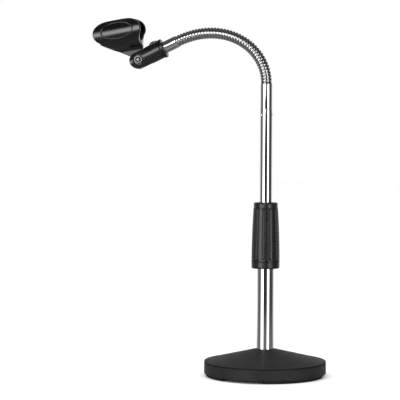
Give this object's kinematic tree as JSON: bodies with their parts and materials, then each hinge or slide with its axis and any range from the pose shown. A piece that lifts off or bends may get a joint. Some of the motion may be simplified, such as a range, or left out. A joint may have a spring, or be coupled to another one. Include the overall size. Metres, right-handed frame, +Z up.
{
  "type": "desktop microphone stand",
  "caption": "Desktop microphone stand: round weighted base, height-adjusting tube with twist clutch, bending gooseneck and swivel microphone clip.",
  "frame": {"origin": "on the floor, under the axis of the upright tube", "axes": "+Z up along the tube; the gooseneck and clip reach towards -X; the clip's pivot lies along Y"},
  "size_m": [0.2941, 0.152, 0.446],
  "materials": {
    "base_paint": "satin black powder coat",
    "foot_rubber": "matt moulded rubber",
    "tube_chrome": "polished",
    "coil_chrome": "polished wire",
    "zinc_steel": "bright zinc",
    "grip_plastic": "fine moulded texture",
    "clip_plastic": "semi-gloss",
    "white_nylon": "natural nylon",
    "brass": "turned"
  },
  "bodies": {
    "stand": {"base_casting": "base_paint", "left_foot_pad": "foot_rubber", "right_foot_pad": "foot_rubber", "rear_foot_pad": "foot_rubber", "base_bolt": "zinc_steel", "base_washer": "zinc_steel", "base_lock_washer": "zinc_steel", "base_plug": "zinc_steel", "outer_tube": "tube_chrome", "clutch_collar": "grip_plastic", "clutch_sleeve": "zinc_steel", "clutch_collet": "white_nylon"},
    "clutch_grip": {"clutch_grip": "grip_plastic"},
    "guide_bush": {"guide_bush": "white_nylon"},
    "inner_tube": {"inner_tube": "tube_chrome", "tube_plug": "zinc_steel", "ferrule_stud": "zinc_steel", "lower_ferrule": "tube_chrome", "gooseneck_link_1": "coil_chrome"},
    "gooseneck_link_2": {"gooseneck_link_2": "coil_chrome"},
    "gooseneck_link_3": {"gooseneck_link_3": "coil_chrome"},
    "gooseneck_link_4": {"gooseneck_link_4": "coil_chrome"},
    "gooseneck_link_5": {"gooseneck_link_5": "coil_chrome"},
    "gooseneck_link_6": {"gooseneck_link_6": "coil_chrome"},
    "gooseneck_link_7": {"gooseneck_link_7": "coil_chrome"},
    "neck_end": {"gooseneck_link_8": "coil_chrome", "upper_ferrule": "tube_chrome", "thread_stud": "zinc_steel"},
    "clip_barrel": {"clip_barrel": "clip_plastic", "thread_insert": "brass", "friction_washers": "grip_plastic", "pivot_nut": "zinc_steel"},
    "clip_body": {"clip_body": "clip_plastic"},
    "pivot_screw": {"pivot_screw": "zinc_steel", "screw_lever": "clip_plastic"}
  },
  "joints": [
    {"name": "clutch_twist", "type": "hinge", "parent": "stand", "child": "clutch_grip", "pos_m": [0, 0, 0.178], "axis": [0, 0, 1], "range_deg": [0, 180]},
    {"name": "height", "type": "slide", "parent": "stand", "child": "guide_bush", "axis": [0, 0, 1], "range_m": [-0.105, 0.045]},
    {"name": "tube_turn", "type": "hinge", "parent": "guide_bush", "child": "inner_tube", "pos_m": [0, 0, 0.25], "axis": [0, 0, 1], "continuous": true},
    {"name": "neck_bend", "type": "hinge", "parent": "inner_tube", "child": "gooseneck_link_2", "pos_m": [-0.00307, 0, 0.38306], "axis": [0, -1, 0], "range_deg": [-16.4, 5]},
    {"name": "neck_bend_2", "type": "hinge", "parent": "gooseneck_link_2", "child": "gooseneck_link_3", "pos_m": [-0.01175, 0, 0.39931], "axis": [0, -1, 0], "range_deg": [-16.4, 5]},
    {"name": "neck_bend_3", "type": "hinge", "parent": "gooseneck_link_3", "child": "gooseneck_link_4", "pos_m": [-0.02486, 0, 0.41228], "axis": [0, -1, 0], "range_deg": [-16.4, 5]},
    {"name": "neck_bend_4", "type": "hinge", "parent": "gooseneck_link_4", "child": "gooseneck_link_5", "pos_m": [-0.041, 0, 0.42119], "axis": [0, -1, 0], "range_deg": [-16.4, 5]},
    {"name": "neck_bend_5", "type": "hinge", "parent": "gooseneck_link_5", "child": "gooseneck_link_6", "pos_m": [-0.05888, 0, 0.4258], "axis": [0, -1, 0], "range_deg": [-16.4, 5]},
    {"name": "neck_bend_6", "type": "hinge", "parent": "gooseneck_link_6", "child": "gooseneck_link_7", "pos_m": [-0.07733, 0, 0.42624], "axis": [0, -1, 0], "range_deg": [-16.4, 5]},
    {"name": "neck_bend_7", "type": "hinge", "parent": "gooseneck_link_7", "child": "neck_end", "pos_m": [-0.0955, 0, 0.42292], "axis": [0, -1, 0], "range_deg": [-16.4, 5]},
    {"name": "clip_turn", "type": "hinge", "parent": "neck_end", "child": "clip_barrel", "pos_m": [-0.16062, 0, 0.39345], "axis": [-0.9018, 0, -0.4321], "range_deg": [-180, 180]},
    {"name": "clip_tilt", "type": "hinge", "parent": "clip_barrel", "child": "clip_body", "pos_m": [-0.16062, 0, 0.39345], "axis": [0, 1, 0], "range_deg": [-150, 10]},
    {"name": "screw_turn", "type": "hinge", "parent": "clip_barrel", "child": "pivot_screw", "pos_m": [-0.16062, 0, 0.39345], "axis": [0, 1, 0], "range_deg": [0, 180]}
  ]
}
